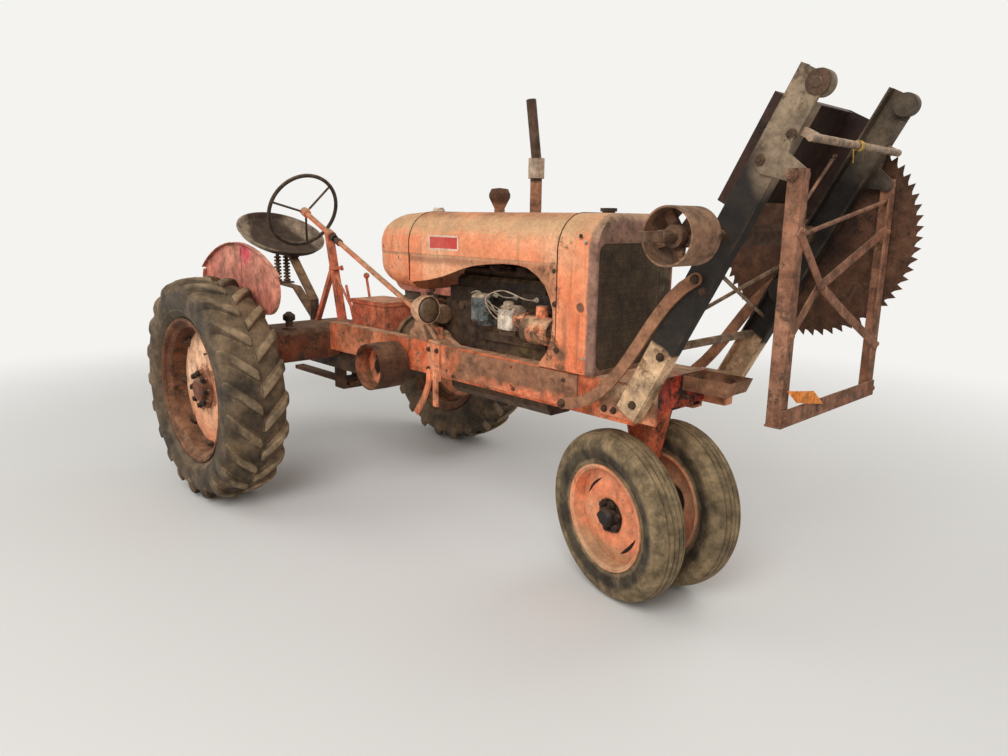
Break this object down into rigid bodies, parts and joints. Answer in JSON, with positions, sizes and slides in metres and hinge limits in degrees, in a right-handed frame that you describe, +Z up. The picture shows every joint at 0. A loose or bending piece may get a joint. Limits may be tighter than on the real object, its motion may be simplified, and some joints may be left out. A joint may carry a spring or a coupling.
{
  "type": "row-crop tractor with front-mounted buzz saw",
  "caption": "Weathered orange row-crop tractor with paired front wheels and a cordwood saw on slanted beams bolted to its frame.",
  "frame": {"origin": "middle of the machine's length on the centre line, on the floor", "axes": "+X forward, +Y to the driver's left, +Z up; the front wheels are parked turned to the right"},
  "size_m": [4.1232, 2.03, 2.0522],
  "materials": {
    "orange": "faded, dusty orange paint",
    "hood_orange": "sun-faded orange paint, brown dust on top",
    "red": "worn red-orange paint",
    "fender": "chalky pinkish red paint",
    "rust": "bare rusty steel",
    "dark_rust": "dark red rust",
    "black": "old black paint, dusty",
    "grease": "greasy, dusty cast iron",
    "aluminium": "dull cast aluminium",
    "seat": "grey-brown worn pan",
    "filter": "scuffed blue can",
    "tyre": "old rubber, tan dust",
    "front_tyre": "old rubber, brown dust",
    "rim": "brown rust over old paint",
    "front_rim": "faded orange paint",
    "beam": "black paint, dusty, bare at the ends",
    "bare": "bare weathered steel"
  },
  "bodies": {
    "tractor": {"frame_rail_right": "orange", "frame_rail_left": "orange", "side_plates": "rust", "front_bolster": "orange", "transmission_case": "grease", "final_drive_right": "orange", "final_drive_left": "orange", "engine_block": "grease", "oil_pan": "grease", "manifold": "rust", "exhaust_stack": "black", "air_cleaner": "orange", "magneto": "aluminium", "generator": "orange", "oil_filter": "filter", "radiator_core": "black", "radiator_shell": "hood_orange", "grille": "black", "fuel_tank": "hood_orange", "fuel_cap": "aluminium", "hood": "hood_orange", "head_lamp": "orange", "steering_post": "red", "shaft_bracket": "grease", "seat_pan": "seat", "seat_support": "grease", "fender_right": "fender", "fender_left": "fender", "tool_box": "red", "control_levers": "red", "drawbar": "rust", "hanger_brackets": "orange", "pulley_housing": "grease", "saw_beam_right": "beam", "saw_beam_left": "beam", "saw_guard": "dark_rust", "saw_cross_bars": "bare", "saw_braces": "rust", "arbor_bearings": "grease", "front_tray": "rust"},
    "rear_wheel_right_body": {"rear_wheel_right": "rim", "rear_tyre_right": "tyre"},
    "rear_wheel_left_body": {"rear_wheel_left": "rim", "rear_tyre_left": "tyre"},
    "front_steering": {"front_spindle": "grease"},
    "front_wheel_right_body": {"front_wheel_right": "front_rim", "front_tyre_right": "front_tyre"},
    "front_wheel_left_body": {"front_wheel_left": "front_rim", "front_tyre_left": "front_tyre"},
    "steering_wheel_body": {"steering_wheel": "black"},
    "steering_shaft_body": {"steering_shaft": "orange"},
    "steering_relay_body": {"steering_relay": "grease"},
    "belt_pulley_body": {"belt_pulley": "rust"},
    "fan_body": {"cooling_fan": "black"},
    "saw_body": {"saw_arbor": "rust", "saw_blade": "dark_rust"},
    "carriage_body": {"log_carriage": "rust"}
  },
  "joints": [
    {"name": "rear_wheel_right_spin", "type": "hinge", "parent": "tractor", "child": "rear_wheel_right_body", "pos_m": [-0.99137, -0.855, 0.6], "axis": [0, 1, 0], "continuous": true},
    {"name": "rear_wheel_left_spin", "type": "hinge", "parent": "tractor", "child": "rear_wheel_left_body", "pos_m": [-0.99137, 0.855, 0.6], "axis": [0, 1, 0], "continuous": true},
    {"name": "front_steer", "type": "hinge", "parent": "tractor", "child": "front_steering", "pos_m": [1.24363, 0, 0.52], "axis": [0, 0, 1], "range_deg": [-28, 52]},
    {"name": "front_wheel_right_spin", "type": "hinge", "parent": "front_steering", "child": "front_wheel_right_body", "pos_m": [1.21306, -0.14379, 0.35195], "axis": [0.2076, 0.9769, 0.0506], "continuous": true},
    {"name": "front_wheel_left_spin", "type": "hinge", "parent": "front_steering", "child": "front_wheel_left_body", "pos_m": [1.27419, 0.14379, 0.35195], "axis": [0.2076, 0.9769, -0.0506], "continuous": true},
    {"name": "steering_wheel_turn", "type": "hinge", "parent": "tractor", "child": "steering_wheel_body", "pos_m": [-1.49137, 0, 1.55], "axis": [0.913, 0, -0.4079], "range_deg": [-585, 315]},
    {"name": "steering_shaft_turn", "type": "hinge", "parent": "tractor", "child": "steering_shaft_body", "pos_m": [0.31763, -0.15, 0.872], "axis": [0.9378, -0.0994, -0.3327], "range_deg": [-585, 315]},
    {"name": "steering_relay_turn", "type": "hinge", "parent": "tractor", "child": "steering_relay_body", "pos_m": [0.70863, -0.15, 0.872], "axis": [1, 0, 0], "range_deg": [-585, 315]},
    {"name": "belt_pulley_spin", "type": "hinge", "parent": "tractor", "child": "belt_pulley_body", "pos_m": [-0.14137, -0.339, 0.786], "axis": [0, 1, 0], "continuous": true},
    {"name": "fan_spin", "type": "hinge", "parent": "tractor", "child": "fan_body", "pos_m": [0.92663, 0, 1.19], "axis": [1, 0, 0], "continuous": true},
    {"name": "saw_spin", "type": "hinge", "parent": "tractor", "child": "saw_body", "pos_m": [1.68061, 0, 1.47445], "axis": [0, 1, 0], "continuous": true},
    {"name": "carriage_swing", "type": "hinge", "parent": "tractor", "child": "carriage_body", "pos_m": [1.93375, 0, 1.65019], "axis": [0, 1, 0], "range_deg": [-40, 20]}
  ],
  "couplings": [
    {"joint": "steering_wheel_turn", "follows": "front_steer", "ratio": -11.25},
    {"joint": "steering_shaft_turn", "follows": "front_steer", "ratio": -11.25},
    {"joint": "steering_relay_turn", "follows": "front_steer", "ratio": -11.25}
  ]
}
